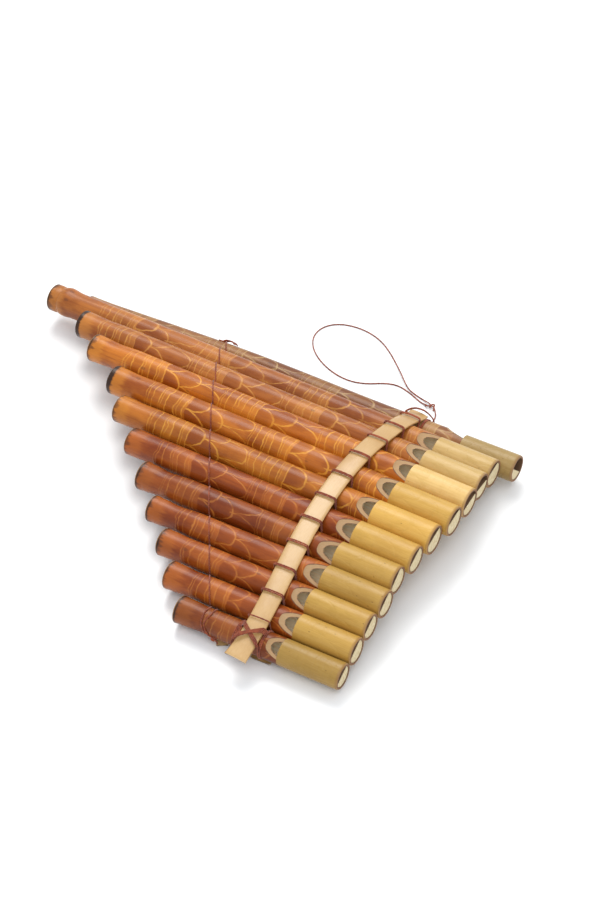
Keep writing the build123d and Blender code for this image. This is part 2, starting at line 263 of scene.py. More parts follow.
def skin_material(pipe):
    """Varnished stained bamboo, scratched down to lighter cane, and bare cane at the mouthpiece."""
    index = pipe.index
    n = Nodes(f"bamboo_skin_{index + 1:02d}")
    along, turns = n.skin_place()
    stain = linear(shade(STAIN_HUES[index], STAIN_SHADES[index]))
    bare = linear(shade(BARE_HUES[index], BARE_SHADES[index]))
    seed = index * 0.37
    fibres = n.noise(n.place((6, 260, 260), (seed, seed, 0)), 5, detail=4, roughness=0.6)
    fine = n.noise(n.place((14, 900, 900), (seed, 0, seed)), 4, detail=3)
    clouds = n.noise(n.place((0.35, 1, 1), (seed, seed, seed)), 62, detail=4, roughness=0.6)
    lines, bands, hollows = scratch_pattern(n, along, turns, index)
    deep = tint(stain, 0.6, 0.44, 0.32)
    warm = tint(stain, 1.22, 1.25, 1.1)
    amber = tint(stain, 1.55, 1.95, 1.9)
    scratch = tint(stain, 1.75, 2.7, 3.2)
    body = n.mix(n.span(clouds, 0.34, 0.66), deep, warm)
    streaks = n.noise(n.place((2.2, 90, 90), (seed, 0, seed)), 5, detail=3)
    body = n.over(body, deep, n.span(streaks, 0.5, 0.7), 0.4)
    body = n.over(body, deep, n.span(fibres, 0.52, 0.75), 0.5)
    body = n.over(body, warm, n.span(fine, 0.52, 0.7), 0.25)
    glow = n.span(n.noise(n.place((0.5, 1, 1), (0, seed, 0)), 34, detail=2), 0.42, 0.66)
    body = n.mix(n.times(bands, n.times_plus(glow, 0.6, 0.36)), body, amber)
    body = n.over(body, deep, hollows, 0.45)
    body = n.over(body, scratch, lines, 0.72)
    ragged = n.plus(n.times_plus(clouds, 12.0, -6.0), n.times_plus(streaks, 14.0, -7.0))
    scorch = n.plus(along, ragged)
    body = n.over(body, amber, n.span(scorch, 16.0, 10.0), 0.45)
    body = n.over(body, linear((84, 44, 20)), n.span(scorch, 4.0, 1.0), 0.7)
    burn_edge = n.plus(along, n.times(clouds, 5.0))
    burnt = n.times(n.span(burn_edge, BURNT_DEPTHS[index] + 1.2, BURNT_DEPTHS[index]), 0.9)
    body = n.mix(burnt, body, linear((30, 17, 10)))
    body = n.over(body, linear(RIMS[index]), n.span(along, 0.95, 0.75), 0.7)
    fleck = n.span(n.dots(n.place((0.5, 1, 1), (seed, seed, 0)), 70), 0.1, 0.06)
    body = n.over(body, linear((60, 34, 24)), fleck, 0.35)
    dark_bare = tint(bare, 0.78, 0.68, 0.5)
    pale_bare = tint(bare, 1.08, 1.12, 1.2)
    cane = n.mix(n.span(fibres, 0.35, 0.7), pale_bare, bare)
    olive = tint(bare, 0.78, 0.76, 0.5)
    patches = n.noise(n.place((0.6, 1.6, 1.6), (seed, 0, seed)), 95, detail=5, roughness=0.65)
    cane = n.over(cane, olive, n.span(patches, 0.47, 0.62), 0.32)
    cane = n.over(cane, dark_bare, n.span(clouds, 0.5, 0.75), 0.45)
    cane = n.over(cane, pale_bare, n.span(patches, 0.42, 0.34), 0.5)
    cane = n.over(cane, dark_bare, n.span(fine, 0.52, 0.72), 0.4)
    specks = n.span(n.dots(n.place((0.6, 1, 1), (seed, 0, 0)), 190), 0.09, 0.05)
    cane = n.over(cane, linear((96, 66, 34)), specks, 0.5)
    from_mouth = n.minus(pipe.length, along)
    cane = n.over(cane, linear((140, 100, 62)), n.span(from_mouth, 2.2, 0.6), 0.55)
    bare_part = n.span(from_mouth, pipe.cut + 0.25, pipe.cut - 0.15)
    colour = n.mix(bare_part, body, cane)
    rough = n.times_plus(clouds, 0.18, 0.27)
    height = n.times_plus(lines, -0.8, n.times(fibres, 0.35))
    height = n.times_plus(fine, 0.12, height)
    return n.finish(colour, rough, n.bump(height, 0.35, 0.0004), coat=0.1, coat_roughness=0.2, specular=0.26)


def cane_material(name, colour, grain, shine=0.0, rough=0.7, offset=0.0):
    """Bare split bamboo; grain is the stretch of its fibres along X, Y and Z."""
    n = Nodes(name)
    base = linear(colour)
    fibres = n.noise(n.place(grain, (offset, 0, 0)), 5, detail=4, roughness=0.65)
    clouds = n.noise(n.place(offset=(0, offset, 0)), 40, detail=3)
    dark = tint(base, 0.8, 0.7, 0.55)
    pale = tint(base, 1.08, 1.14, 1.25)
    colour = n.mix(n.span(fibres, 0.3, 0.72), pale, base)
    colour = n.over(colour, dark, n.span(clouds, 0.45, 0.75), 0.5)
    colour = n.over(colour, dark, n.span(fibres, 0.62, 0.85), 0.4)
    return n.finish(colour, rough, n.bump(fibres, 0.4, 0.0003), coat=shine, coat_roughness=0.2)


# The bore is near white, lighter than the cut cane. This is painted light, so the bore seen through the
# windows looks lit.
def bore_material():
    n = Nodes("pipe_bore_painted_light")
    fibres = n.noise(n.place((10, 200, 200)), 5, detail=3)
    colour = n.mix(n.span(fibres, 0.35, 0.7), linear((255, 232, 196)), linear((255, 246, 222)))
    return n.finish(colour, 0.8, n.bump(fibres, 0.5, 0.0003), specular=0.2)


def plug_material():
    """Pale soft wood with faint growth lines and pores."""
    n = Nodes("plug_wood")
    lines = n.noise(n.place((20, 300, 90)), 4, detail=3)
    pores = n.dots(n.place((0.3, 1, 1)), 900)
    colour = n.mix(n.span(lines, 0.35, 0.7), linear((226, 210, 172)), linear((206, 182, 136)))
    colour = n.over(colour, linear((180, 146, 98)), n.span(pores, 0.16, 0.06), 0.3)
    return n.finish(colour, 0.7, n.bump(lines, 0.3, 0.0003), specular=0.3)


def cord_material():
    """Red-brown thread; its plies are in the mesh, its fibres are here."""
    n = Nodes("binding_cord")
    hairs = n.noise(n.place(), 2600, detail=2)
    clouds = n.noise(n.place(), 240, detail=2)
    colour = n.mix(n.span(clouds, 0.35, 0.7), linear((112, 46, 26)), linear((152, 72, 40)))
    colour = n.over(colour, linear((196, 116, 78)), n.span(hairs, 0.5, 0.75), 0.5)
    material = n.finish(colour, 0.75, n.bump(hairs, 0.6, 0.0002), specular=0.25)
    n.shader.inputs["Sheen Weight"].default_value = 0.25
    n.shader.inputs["Sheen Roughness"].default_value = 0.5
    return material


def table_material():
    n = Nodes("table_top")
    mottle = n.noise(n.place(), 9, detail=2)
    colour = n.mix(mottle, (0.86, 0.86, 0.865, 1), (0.88, 0.88, 0.88, 1))
    return n.finish(colour, 0.32, specular=0.35)


MATERIALS = {
    "cut": cane_material("window_cut_cane", (172, 136, 94), (60, 240, 240)),
    # The window lip: dark cane along the outer edge of the cut, and painted shade along its inner edge at the
    # hole.
    "lip": cane_material("window_lip_dark_and_painted_shade", (104, 62, 38), (60, 240, 240), offset=4.0),
    # Dark brown in the windway: painted shade on the bore near the mouth and on the plug's flat top.
    "windway": cane_material("windway_painted_shade", (104, 74, 48), (40, 200, 200), rough=0.8, offset=6.0),
    "bore": bore_material(),
    "end": cane_material("pipe_end_cane", (132, 90, 56), (200, 200, 200), offset=3.0),
    "node": cane_material("node_wall", (206, 164, 112), (120, 120, 120)),
    "bar": cane_material("bar_cane", (190, 150, 94), (300, 7, 300), shine=0.35, rough=0.36, offset=2.0),
    "bar_end": cane_material("bar_end_cane", (176, 158, 140), (400, 400, 60), rough=0.75, offset=7.0),
    "strip": cane_material("strip_cane", (214, 178, 120), (260, 10, 260), shine=0.2, rough=0.45, offset=5.0),
    "plug": plug_material(),
    "cord": cord_material(),
}


# ---- Mesh building blocks


SHARP = 35.0
WELD = 0.004


def add_object(name, data):
    piece = bpy.data.objects.new(name, data)
    bpy.context.scene.collection.objects.link(piece)
    return piece


def raw_mesh(name, points, faces, materials):
    """A mesh from points in millimetres."""
    mesh = bpy.data.meshes.new(name)
    mesh.from_pydata([tuple(c * MM for c in p) for p in points], [], faces)
    for material in materials:
        mesh.materials.append(material)
    return mesh


def shaded_object(name, mesh, sharp=SHARP):
    mesh.shade_smooth()
    mesh.set_sharp_from_angle(angle=math.radians(sharp))
    return add_object(name, mesh)


def settle(piece, slot, *nodes):
    """Rides a piece on the one body, in place of CAD nodes."""
    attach(piece, "root")
    if nodes:
        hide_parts(*nodes)
    return piece


def cad_points(node):
    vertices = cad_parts[node].data.vertices
    points = np.zeros(len(vertices) * 3)
    vertices.foreach_get("co", points)
    return points.reshape(-1, 3) / MM


def middle(points):
    return Vector(((points.min(0) + points.max(0)) / 2).tolist())


def hump(value, centre, width):
    """A bell curve of height 1."""
    return math.exp(-(((value - centre) / width) ** 2))


class Pipe:
    """Axis, length and radii of one pipe, measured on its CAD node."""

    def __init__(self, index):
        points = cad_points(f"pipe_{index + 1:02d}")
        x = points[:, 0]
        near_mouth, near_far = middle(points[x > x.max() - 2]), middle(points[x < x.min() + 4])
        self.index = index
        self.along = (near_mouth - near_far).normalized()
        offsets = points - np.array(near_mouth)
        travel = offsets @ np.array(self.along)
        spread = np.linalg.norm(offsets - np.outer(travel, np.array(self.along)), axis=1)
        self.mouth = near_mouth + self.along * travel.max()
        self.length = travel.max() - travel.min()
        self.mouth_r = spread[travel > travel.max() - 2].max()
        self.far_r = spread[travel < travel.min() + 4].max()
        up = Vector((0, 0, 1))
        self.up = (up - self.along * up.dot(self.along)).normalized()
        self.near = self.along.cross(self.up)
        self.turn = math.radians(WINDOW_TURNS[index])
        self.cut = MOUTHPIECES[index]
        self.ramp = WINDOW_RAMPS[index]

    def axis(self, distance):
        share = min(max((distance - BOW_START) / (self.length - BOW_START), 0), 1)
        bent = BOWS[self.index] * math.sin(math.pi * share) ** 2
        return self.mouth - self.along * distance + Vector((0, 0.7, 0.7)) * bent

    def at(self, distance, angle, radius):
        """Point at a distance from the mouth, an angle from up towards -Y, and a radius."""
        return self.axis(distance) + (self.up * math.cos(angle) + self.near * math.sin(angle)) * radius

    def distance_at(self, x):
        return (self.mouth.x - x) / self.along.x

    def nominal(self, distance):
        """Outside radius without the unevenness of natural cane."""
        share = min(max((distance - self.cut) / (self.length - self.cut), 0), 1)
        smooth = share * share * (3 - 2 * share)
        radius = self.mouth_r + (self.far_r - self.mouth_r) * smooth
        from_end = self.length - distance
        radius -= WAISTS[self.index] * math.sin(math.pi * share) ** 2
        neck = FLARES[self.index]
        radius -= neck * (hump(from_end, 20, 11) - 0.2 * hump(from_end, 0, 4) + 0.25 * hump(from_end, 5, 1.2))
        if self.index == GROOVED:
            radius += 0.7 * hump(from_end, 14, 4.5) - 1.1 * hump(from_end, 8, 1.2)
        return radius

    def outside(self, distance, angle):
        place = Vector((distance * 0.016, math.cos(angle) * 0.9, math.sin(angle) * 0.9))
        wave = noise.noise(place + Vector((self.index * 3.1, 0, 0)))
        radius = self.nominal(distance) + 0.16 * wave - 0.05
        from_end = self.length - distance
        if self.index == GROOVED:
            radius += 0.7 * hump(from_end, 16, 7) * max(math.cos(angle), 0)
        for rim, reach, depth in ((distance, 1.1, 0.55), (from_end, 0.6, 0.45)):
            if rim < reach:
                radius -= depth * (1 - rim / reach) ** 2
        return radius

    def on_skin(self, distance, angle, above=0.0):
        return self.at(distance, angle, self.outside(distance, angle) + above)

    def bore(self, distance):
        return self.nominal(distance) - WALL


# How much each pipe narrows along its middle, and at the neck behind its far end.
WAISTS = [0.3, 0.35, 0.3, 0.3, 0.35, 0.3, 0.2, 0.2, 0.2, 0.2, 0.05, 0.1]
FLARES = [0.6, 0.75, 0.6, 1.0, 1.3, 0.3, 0.35, 0.6, 0.9, 0.5, 0.15, 0.2]

# Gentle bends beyond the bar.
BOWS = [0.0] * 11 + [2.4]
BOW_START = 95.0

PIPES = [Pipe(index) for index in range(COUNT)]


# ---- Pipes

RING_COLUMNS = 72
WINDOW_ROWS = 20
GAP_COLUMNS = 24


# Material slots of a pipe, in the order build_pipe() gives them; plugs use the first two. The windway slots
# hold painted shade.
SKIN, CUT, BORE, NODE, END, LIP, WINDWAY_SHADE = range(7)
WOOD, PLUG_TOP_SHADE = 0, 1


class Grids:
    """Collects point grids, with a map place and a material for each, into one mesh."""

    def __init__(self):
        self.points, self.faces, self.slots, self.places = [], [], [], []

    def add(self, rows, slot, places=None):
        start = len(self.points)
        width = len(rows[0])
        for number, row in enumerate(rows):
            self.points += row
            self.places += places[number] if places else [(0, 0)] * width
        for i in range(len(rows) - 1):
            for j in range(width - 1):
                a = start + i * width + j
                self.faces.append((a, a + 1, a + width + 1, a + width))
                self.slots.append(slot)

    def build(self, name, materials):
        mesh = raw_mesh(name, self.points, self.faces, materials)
        mesh.polygons.foreach_set("material_index", self.slots)
        layer = mesh.uv_layers.new(name="Skin")
        for loop in mesh.loops:
            layer.data[loop.index].uv = self.places[loop.vertex_index]
        shape = bmesh.new()
        shape.from_mesh(mesh)
        bmesh.ops.remove_doubles(shape, verts=shape.verts, dist=WELD * MM)
        bmesh.ops.dissolve_degenerate(shape, edges=shape.edges, dist=WELD * MM)
        bmesh.ops.recalc_face_normals(shape, faces=shape.faces)
        shape.to_mesh(mesh)
        shape.free()
        return shaded_object(name, mesh)


def steps(start, end, size):
    count = max(1, math.ceil(abs(end - start) / size))
    return [start + (end - start) * k / count for k in range(count + 1)]


def build_pipe(pipe):
    grids = Grids()
    turn, cut, ramp = pipe.turn, pipe.cut, pipe.ramp
    radius = pipe.nominal(cut)
    inner = radius - WALL
    apex = cut + ramp

    def height(distance):
        return radius - WINDOW_DEPTH * (1 - (distance - cut) / ramp) ** WINDOW_CURVE

    def half_angle(distance, reach):
        if distance >= apex:
            return 0.0
        return math.acos(min(height(distance) / reach, 1.0))

    opening = half_angle(cut, radius)

    def outer_row(distance, angles):
        points = [pipe.on_skin(distance, a) for a in angles]
        u = (pipe.length - distance) / 100
        return points, [(u, a / math.tau) for a in angles]

    def add_skin(rows):
        grids.add([row[0] for row in rows], SKIN, [row[1] for row in rows])

    def round_from(first, last, count):
        return [turn + first + (last - first) * j / count for j in range(count + 1)]

    # Mouthpiece: its columns line up with those beside the window.
    mouth_rows = [0.0, 0.15, 0.4, 0.8, 1.3] + steps(1.3, cut, 3.5)[1:]
    for first, last, count in ((opening, math.tau - opening, RING_COLUMNS), (-opening, opening, GAP_COLUMNS)):
        rows = [outer_row(d, round_from(first, last, count)) for d in mouth_rows]
        add_skin(rows)
    # Beside the window, then the whole ring on to the far end.
    body_rows = [cut + ramp * (1 - (1 - k / WINDOW_ROWS) ** 2.4) for k in range(WINDOW_ROWS + 1)]
    body_rows += steps(apex, pipe.length - 24, 4.0)[1:] + steps(pipe.length - 24, pipe.length - 1.3, 1.2)[1:]
    body_rows += [pipe.length - 0.8, pipe.length - 0.4, pipe.length - 0.15, pipe.length]
    rows = []
    for distance in body_rows:
        angle = half_angle(distance, radius) if distance < apex - 1e-6 else 0.0
        rows.append(outer_row(distance, round_from(angle, math.tau - angle, RING_COLUMNS)))
    add_skin(rows)
    # The cut wall round the window: dark cane along its outer edge, and painted shade along its inner edge
    # where the window opens into the bore.
    for side in (1, -1):
        walls = []
        for distance in body_rows[: WINDOW_ROWS + 1]:
            outer_angle = turn + side * half_angle(distance, radius)
            inner_angle = turn + side * half_angle(distance, inner)
            edge = pipe.on_skin(distance, outer_angle)
            reach = height(distance) if height(distance) > inner else inner
            bottom = pipe.at(distance, inner_angle, reach)
            walls.append([edge.lerp(bottom, t) for t in (0.0, 0.07, 0.14, 0.35, 0.65, 0.9, 1.0)])
        grids.add([wall[:3] for wall in walls], LIP)
        grids.add([wall[2:6] for wall in walls], CUT)
        through = sum(height(d) < inner for d in body_rows[: WINDOW_ROWS + 1])
        # Painted shade: the strip along the inner edge, where the window opens into the bore, is dark.
        grids.add([wall[5:] for wall in walls[:through]], LIP)
        grids.add([wall[5:] for wall in walls[through - 1:]], CUT)
    # Bore, from the mouth end through the window to the septum. From the mouth to the window it takes the
    # painted windway shade.
    septum = pipe.length - SEPTUM_FROM_END
    bore_rows = [0.0, 0.5] + steps(0.5, cut, 6.0)[1:]

    def bore_row(distance, angles):
        return [pipe.at(distance, a, pipe.bore(distance)) for a in angles]

    inner_opening = half_angle(cut, inner)
    for first, last, count in (
        (inner_opening, math.tau - inner_opening, RING_COLUMNS),
        (-inner_opening, inner_opening, GAP_COLUMNS),
    ):
        grids.add([bore_row(d, round_from(first, last, count)) for d in bore_rows], WINDWAY_SHADE)
    rows = []
    for distance in body_rows[: WINDOW_ROWS + 1] + steps(apex, septum, 8.0)[1:]:
        angle = half_angle(distance, inner)
        points = []
        for a in round_from(angle, math.tau - angle, RING_COLUMNS):
            points.append(pipe.at(distance, a, pipe.bore(distance) if distance > apex else inner))
        rows.append(points)
    grids.add(rows, BORE)
    disc(grids, pipe, septum, pipe.bore(septum), NODE, turn)
    # Straight cut that ends the mouthpiece, from the rim of the window down to its chord.
    top_arc = [pipe.on_skin(cut, a) for a in round_from(-opening, opening, GAP_COLUMNS)]
    low_arc = bore_row(cut, round_from(-inner_opening, inner_opening, GAP_COLUMNS))
    grids.add([top_arc, [a.lerp(b, 0.5) for a, b in zip(top_arc, low_arc)], low_arc], CUT)
    # End faces of the wall at the mouth and at the far end, and the far cup with its node wall.
    full_ring = round_from(0, math.tau, RING_COLUMNS)
    mouth_ring = round_from(opening, math.tau - opening, RING_COLUMNS)
    mouth_ring += round_from(-opening, opening, GAP_COLUMNS)
    for distance, ring in ((0.0, mouth_ring), (pipe.length, full_ring)):
        outer = [pipe.on_skin(distance, a) for a in ring]
        inner_ring = bore_row(distance, ring)
        grids.add([outer, [a.lerp(b, 0.5) for a, b in zip(outer, inner_ring)], inner_ring], END)
    cup = steps(pipe.length, pipe.length - CUP_DEPTH, 1.0)
    grids.add([bore_row(d, full_ring) for d in cup], NODE)
    disc(grids, pipe, pipe.length - CUP_DEPTH, pipe.bore(pipe.length - CUP_DEPTH), NODE, turn)
    materials = [skin_material(pipe), MATERIALS["cut"], MATERIALS["bore"], MATERIALS["node"]]
    materials += [MATERIALS["end"], MATERIALS["lip"], MATERIALS["windway"]]
    return grids.build(f"pipe_{pipe.index + 1:02d}_cane", materials)


def disc(grids, pipe, distance, radius, slot, turn):
    """A slightly dished wall across the pipe."""
    rows = []
    for share in (1.0, 0.92, 0.8, 0.6, 0.4, 0.2, 0.0):
        dish = 0.5 * (1 - share * share)
        rows.append([
            pipe.at(distance - dish, turn + math.tau * j / RING_COLUMNS, radius * share)
            for j in range(RING_COLUMNS + 1)
        ])
    grids.add(rows, slot)


def build_plug(pipe):
    """Wooden plug in the mouthpiece, flattened on the window side to leave the windway; the flat is painted
    dark as windway shade.
    """
    grids = Grids()
    radius = pipe.nominal(pipe.cut) - WALL - 0.05
    front, back = 0.35, pipe.cut - 0.6

    def row(distance, shrink=0.0):
        share = (distance - front) / (back - front)
        entrance = WINDWAYS[pipe.index]
        flat = radius - (entrance + (WINDWAY_OUT - entrance) * share) - shrink
        bore = pipe.nominal(distance) - WALL - 0.05 - shrink
        half = math.sqrt(bore * bore - flat * flat)
        points = []
        for j in range(RING_COLUMNS + 1):
            angle = math.tau * j / RING_COLUMNS
            across, high = bore * math.sin(angle), bore * math.cos(angle)
            if high > flat:
                across, high = max(-half, min(half, across)), flat
            points.append(pipe.at(distance, pipe.turn + math.atan2(across, high), math.hypot(across, high)))
        return points

    def centre(distance):
        return pipe.at(distance, pipe.turn, -5.5)

    faces = row(front, 0.35)
    middle_front = centre(front)
    grids.add([[middle_front.lerp(p, share) for p in faces] for share in (0, 0.35, 0.7, 1)], WOOD)
    grids.add([faces, row(front + 0.1, 0.1), row(front + 0.4)], WOOD)
    # The flat top of the plug, in the windway, takes the painted windway shade.
    grids.add([row(d) for d in steps(front + 0.4, back, 4.0)], PLUG_TOP_SHADE)
    back_face = row(back)
    middle_back = centre(back)
    grids.add([[p.lerp(middle_back, share) for p in back_face] for share in (0, 0.5, 1)], WOOD)
    return grids.build(f"fipple_plug_{pipe.index + 1:02d}_wood", [MATERIALS["plug"], MATERIALS["windway"]])


for pipe in PIPES:
    number = f"{pipe.index + 1:02d}"
    settle(build_pipe(pipe), "stained_bamboo", f"pipe_{number}")
    settle(build_plug(pipe), "plug_wood", f"fipple_plug_{number}")


# ---- Bent bamboo bars and the slanted strip


def solid(*nodes):
    """Surface of CAD nodes to cast rays at, in millimetres."""
    points, faces = [], []
    for node in nodes:
        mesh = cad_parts[node].data
        start = len(points)
        points += [v.co / MM for v in mesh.vertices]
        faces += [tuple(start + i for i in p.vertices) for p in mesh.polygons]
    return BVHTree.FromPolygons(points, faces)


def slice_ends(node, y):
    """Least and greatest X of a CAD node where the plane at y cuts it."""
    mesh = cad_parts[node].data
    found = []
    for edge in mesh.edges:
        a, b = (mesh.vertices[i].co / MM for i in edge.vertices)
        if (a.y - y) * (b.y - y) < 0:
            found.append(a.lerp(b, (y - a.y) / (b.y - a.y)).x)
    return min(found), max(found)


def above_table(point):
    return Vector((point.x, point.y, max(point.z, 0.0)))


def bent_cane(name, node, crown, materials, end_flare=0.0):
    """A split cane bar that follows its CAD solid, skin side crowned, edges rounded."""
    surface = solid(node)
    low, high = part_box(node)
    y0, y1 = low[1] / MM + 0.3, high[1] / MM - 0.3
    down, up = Vector((0, 0, -1)), Vector((0, 0, 1))
    stations = []
    for y in steps(y0, y1, 2.5):
        x0, x1 = slice_ends(node, y)
        middle_x = (x0 + x1) / 2
        top = surface.ray_cast(Vector((middle_x, y, 200)), down)[0]
        bottom = surface.ray_cast(Vector((middle_x, y, -200)), up)[0]
        if top is not None and bottom is not None:
            stations.append((top, bottom, (x1 - x0) / 2))
    half = sorted(s[2] for s in stations)[len(stations) // 2]
    thickness = min((s[0] - s[1]).length for s in stations)
    middles = [s[0].lerp(s[1], 0.5) for s in stations]
    sign = 1 if crown > 0 else -1
    crown = abs(crown)
    profile = []
    for t in (-1.0, -0.985, -0.9, -0.5, 0.0, 0.5, 0.9, 0.985, 1.0):
        profile.append((t, -0.5 * thickness + (0.35 if abs(t) == 1 else 0.08 if abs(t) > 0.95 else 0)))
    for t in (1.0, 0.99, 0.965, 0.92, 0.75, 0.5, 0.25, 0, -0.25, -0.5, -0.75, -0.92, -0.965, -0.99, -1.0):
        edge = {1.0: 0.95, 0.99: 0.5, 0.965: 0.2, 0.92: 0.05}.get(abs(t), 0.0)
        profile.append((t, 0.5 * thickness - crown * t * t - edge))
    profile.append(profile[0])
    grids = Grids()
    rows, places, run = [], [], 0.0
    for k, centre in enumerate(middles):
        before, after = middles[max(k - 1, 0)], middles[min(k + 1, len(middles) - 1)]
        tangent = (after - before).normalized()
        side = Vector((1, 0, 0))
        side = (side - tangent * side.dot(tangent)).normalized()
        out = side.cross(tangent)
        out = out if out.z > 0 else -out
        run += (centre - middles[k - 1]).length if k else 0.0
        flare = end_flare * max(0.0, 1 - (centre.y - middles[0].y) / 16) ** 2
        row, place = [], []
        for t, h in profile:
            width = half * (1 + flare + 0.02 * noise.noise(Vector((centre.y * 0.05, t * 2, 3.0))))
            row.append(above_table(centre + side * (t * width) + out * (sign * h)))
            place.append((run / 100, t * half / 100))
        rows.append(row)
        places.append(place)
    grids.add(rows, 0, places)
    for row, step in ((rows[0], rows[1]), (rows[-1], rows[-2])):
        outward = (row[0] - step[0]).normalized()
        middle_row = sum(row[:-1], Vector()) / (len(row) - 1)
        inset = [above_table(middle_row.lerp(p, 0.9) + outward * 0.25) for p in row]
        grids.add([row, inset, [above_table(middle_row + outward * 0.25)] * len(row)], 1)
    return grids.build(name, materials)


for node, crown, skin, flare in (
    ("front_bar", 0.7, "bar", 0.14), ("rear_bar", -0.5, "bar", 0.0), ("rear_strip", -0.3, "strip", 0.0),
):
    cane = bent_cane(f"{node}_cane", node, crown, [MATERIALS[skin], MATERIALS["bar_end"]], flare)
    settle(cane, "natural_bamboo", node)


# ---- Cord: twisted strands


def smooth(points, step=0.4, closed=False):
    """Points close together on a curve through the given ones."""
    points = [Vector(p) for p in points]
    count = len(points)
    result = []
    for k in range(count if closed else count - 1):
        if closed:
            a, b, c, d = (points[(k + j) % count] for j in (-1, 0, 1, 2))
        else:
            a, b, c, d = (points[min(max(k + j, 0), count - 1)] for j in (-1, 0, 1, 2))
        pieces = max(1, round((c - b).length / step))
        for j in range(pieces):
            t = j / pieces
            result.append(
                0.5 * ((2 * b) + (c - a) * t + (2 * a - 5 * b + 4 * c - d) * t * t
                       + (3 * b - a - 3 * c + d) * t ** 3)
            )
    result.append(points[0] if closed else points[-1])
    return result


CORD_R = 0.5
CORD_SHARP = 60.0


class Strands:
    """Twisted two-ply cords, gathered into one mesh."""

    SIDES = 14

    def __init__(self, radius=CORD_R, pitch=3.4):
        self.radius, self.pitch = radius, pitch
        self.points, self.faces = [], []

    def add(self, path, phase=0.0, taper=True):
        start = len(self.points)
        count = len(path)
        normal = None
        run = 0.0
        for k, centre in enumerate(path):
            tangent = (path[min(k + 1, count - 1)] - path[max(k - 1, 0)]).normalized()
            if normal is None:
                normal = tangent.orthogonal().normalized()
            normal = (normal - tangent * normal.dot(tangent)).normalized()
            side = tangent.cross(normal)
            run += (centre - path[k - 1]).length if k else 0.0
            twist = math.tau * run / self.pitch / 2 + phase
            end = min(k, count - 1 - k)
            fade = 1.0 if not taper or end > 2 else (0.45, 0.8, 0.95)[end]
            for j in range(self.SIDES):
                angle = math.tau * j / self.SIDES
                lobe = 0.79 + 0.21 * abs(math.cos(angle - twist)) ** 0.8
                reach = self.radius * lobe * fade
                across, up = math.cos(angle) * reach, math.sin(angle) * reach
                self.points.append(centre + normal * across + side * up)
        for k in range(count - 1):
            for j in range(self.SIDES):
                a, b = start + k * self.SIDES + j, start + k * self.SIDES + (j + 1) % self.SIDES
                self.faces.append((a, b, b + self.SIDES, a + self.SIDES))
        last = start + (count - 1) * self.SIDES
        self.faces.append(tuple(range(start + self.SIDES - 1, start - 1, -1)))
        self.faces.append(tuple(range(last, last + self.SIDES)))

    def build(self, name):
        return shaded_object(name, raw_mesh(name, self.points, self.faces, [MATERIALS["cord"]]), CORD_SHARP)


BARS = {name: solid(name) for name in ("front_bar", "rear_bar")}
TOPS = solid("front_bar", *(f"pipe_{k + 1:02d}" for k in range(COUNT)))


def plan_line(node):
    """Middle X of a bar for any Y, from slices of its CAD solid."""
    low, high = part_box(node)
    ys = steps(low[1] / MM + 1, high[1] / MM - 1, 4.0)
    xs = [sum(slice_ends(node, y)) / 2 for y in ys]
    return lambda y: float(np.interp(y, ys, xs))


BAR_X = plan_line("front_bar")
STRIP_X = plan_line("rear_strip")
STRIP_CORD_LEAD = 9.0
BAR_HALF = 7.25


def at_x(pipe, x):
    return pipe.axis(pipe.distance_at(x))


class Gap:
    """The valley between two neighbouring pipes, where a bar crosses it."""

    def __init__(self, index, plan):
        near, far = PIPES[index], PIPES[index + 1]
        x = plan((near.mouth.y + far.mouth.y) / 2)
        for _ in range(3):
            a, b = at_x(near, x), at_x(far, x)
            ra, rb = near.nominal(near.distance_at(x)), far.nominal(far.distance_at(x))
            self.centre = a.lerp(b, ra / (ra + rb))
            x = plan(self.centre.y)
        self.across = (b - a).normalized()
        self.along = (near.along + far.along).normalized()
        self.out = self.along.cross(-self.across).normalized()
        if self.out.z < 0:
            self.out = -self.out
        self.radius = (ra + rb) / 2


def bar_loop(gap, shift, rise=0.0):
    """A closed turn of cord round both bars through one gap."""
    centre = gap.centre + gap.across * shift
    top = BARS["front_bar"].ray_cast(centre + gap.out * 60, -gap.out)[0]
    bottom = BARS["rear_bar"].ray_cast(centre - gap.out * 60, gap.out)[0]
    high = (top - centre).dot(gap.out) + CORD_R * 0.8 + rise
    low = (bottom - centre).dot(gap.out) - CORD_R * 0.8
    half = BAR_HALF + CORD_R * 0.9
    lean = gap.across * 0.25
    places = [(t * half, high - 0.7 * t * t) for t in (-0.9, -0.6, -0.3, 0, 0.3, 0.6, 0.9)]
    places += [(half * 0.985, high - 1.2), (half + 0.15, high - 2.4), (half, high - 4.5)]
    places += [(half - 0.5, low + 5), (half, low + 1.6), (half * 0.93, low + 0.3)]
    places += [(half * 0.5, low), (-half * 0.5, low)]
    places += [(-half * 0.93, low + 0.3), (-half, low + 1.6), (-half + 0.5, low + 5), (-half, high - 4.5)]
    places += [(-half - 0.15, high - 2.4), (-half * 0.985, high - 1.2)]
    return smooth([centre + gap.along * u + gap.out * h + lean * (u / half) for u, h in places], closed=True)


bar_cord = Strands()
for index in range(COUNT - 1):
    gap = Gap(index, BAR_X)
    if index == 0:
        bar_cord.add(bar_loop(gap, 0.0), 0.3, taper=False)
        continue
    for number, shift in enumerate((-0.56, 0.56)):
        bar_cord.add(bar_loop(gap, shift, 0.1 * ((index + number) % 3)), index + 1.3 * number, taper=False)
settle(bar_cord.build("bar_lashing_cord"), "binding_cord", "bar_lashing")


def round_pipe(pipe, x, first, last, lean):
    """Cord that hugs a pipe from one angle to another, in degrees; it leans along the pipe."""
    points = []
    for degrees in steps(first, last, 6.0):
        share = (degrees - first) / (last - first)
        distance = pipe.distance_at(x) + lean * (share - 0.5)
        angle = math.radians(degrees)
        points.append(pipe.on_skin(distance, angle, CORD_R * 0.8))
    return smooth(points)


